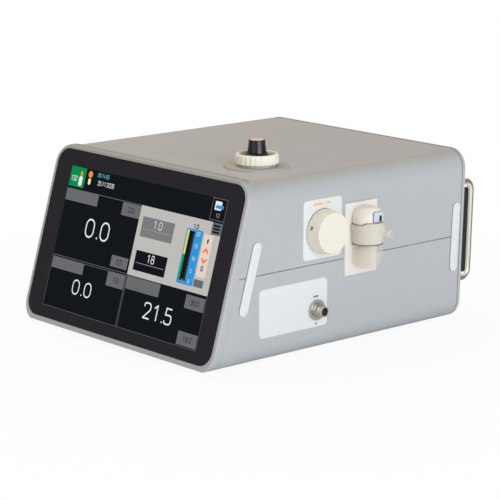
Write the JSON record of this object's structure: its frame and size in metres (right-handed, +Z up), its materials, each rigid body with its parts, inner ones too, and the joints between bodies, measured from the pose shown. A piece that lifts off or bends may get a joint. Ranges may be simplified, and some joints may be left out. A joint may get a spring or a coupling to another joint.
{
  "type": "gas dosing and monitoring unit",
  "caption": "Bench-top ventilator gas dosing and monitoring unit: wedge-fronted casing, touch display, top dose valve, side selector knob, pull-out water trap, sensor socket, rear handles.",
  "frame": {"origin": "on the floor under the middle of the overall box", "axes": "+Z up, the display faces -Y, +X is the side with the selector and the water trap"},
  "size_m": [0.3002, 0.3354, 0.1845],
  "materials": {
    "casing_paint": "satin warm grey powder coat",
    "frame_paint": "satin grey powder coat",
    "strip_plastic": "white moulded plastic",
    "label_film": "printed polycarbonate film",
    "screen_glass": "black-bordered cover glass",
    "lcd": "display module",
    "sheet_metal": "zinc-plated sheet",
    "steel": "plated steel",
    "polished_steel": "polished",
    "nickel": "nickel plated",
    "brass": "turned",
    "aluminium": "machined",
    "valve_grey": "moulded grey plastic",
    "ivory": "moulded ivory plastic",
    "cream": "moulded cream plastic",
    "black": "moulded black plastic",
    "peach": "moulded cap",
    "trap_tint": "smoke translucent",
    "trap_clear": "clear",
    "label_blue": "printed film",
    "rubber": "matte black",
    "circuit_board": "solder-masked laminate",
    "pack_blue": "shrink-wrapped cells"
  },
  "bodies": {
    "housing": {"front_frame": "frame_paint", "upper_shell": "casing_paint", "lower_shell": "casing_paint", "rear_panel": "casing_paint", "rubber_feet": "rubber", "chassis": "sheet_metal", "base_screws": "steel", "rear_screws": "steel", "trim_strips": "strip_plastic", "selector_label": "label_film", "socket_label": "label_film", "touch_glass": "screen_glass", "display_panel": "lcd", "display_bracket": "sheet_metal", "bracket_screws": "steel", "display_board": "circuit_board", "valve_plate": "valve_grey", "needle_valve": "brass", "valve_nut": "steel", "selector_bush": "brass", "selector_valve": "aluminium", "trap_receptacle": "cream", "socket_shell": "nickel", "socket_insert": "black", "socket_nut": "steel", "rear_handle_right": "polished_steel", "rear_handle_left": "polished_steel", "handle_guards": "black", "fan_guard": "polished_steel", "fan_frame": "black", "mains_inlet": "black", "data_port": "nickel", "earth_stud": "brass", "gas_inlets": "nickel", "hose_barbs": "brass", "speaker": "black", "main_board": "circuit_board", "board_posts": "steel", "power_supply": "sheet_metal", "battery_pack": "pack_blue", "gas_manifold": "aluminium", "solenoid_valves": "black", "sample_pump": "black", "sensor_block": "aluminium", "sensor_cells": "strip_plastic"},
    "dose_knob": {"dose_knob": "black", "knob_cap": "peach", "valve_stem": "steel"},
    "lock_ring": {"lock_ring": "ivory"},
    "selector": {"selector_knob": "cream", "selector_grub": "steel", "selector_shaft": "steel"},
    "water_trap": {"trap_head": "cream", "trap_label": "label_blue", "trap_collar": "trap_tint", "trap_seal": "rubber", "sample_port": "cream"},
    "trap_cup": {"trap_cup": "trap_clear"},
    "fan_rotor": {"fan_rotor": "black"},
    "power_rocker": {"power_rocker": "black"}
  },
  "joints": [
    {"name": "dose_turn", "type": "hinge", "parent": "housing", "child": "dose_knob", "pos_m": [0.05719, -0.061, 0.17], "axis": [0, 0, 1], "range_deg": [0, 270]},
    {"name": "lock_turn", "type": "hinge", "parent": "housing", "child": "lock_ring", "pos_m": [0.05719, -0.061, 0.167], "axis": [0, 0, 1], "range_deg": [-60, 0]},
    {"name": "selector_turn", "type": "hinge", "parent": "housing", "child": "selector", "pos_m": [0.12509, -0.0405, 0.1099], "axis": [1, 0, 0], "range_deg": [-90, 0]},
    {"name": "trap_pull", "type": "slide", "parent": "housing", "child": "water_trap", "axis": [1, 0, 0], "range_m": [0, 0.03]},
    {"name": "cup_drop", "type": "slide", "parent": "water_trap", "child": "trap_cup", "axis": [0, 0, -1], "range_m": [0, 0.024]},
    {"name": "fan_spin", "type": "hinge", "parent": "housing", "child": "fan_rotor", "pos_m": [-0.07691, 0.12215, 0.10142], "axis": [0, 0.9995, -0.0314], "continuous": true},
    {"name": "rocker_tip", "type": "hinge", "parent": "housing", "child": "power_rocker", "pos_m": [-0.06841, 0.13451, 0.033], "axis": [1, 0, 0], "range_deg": [0, 16]}
  ]
}
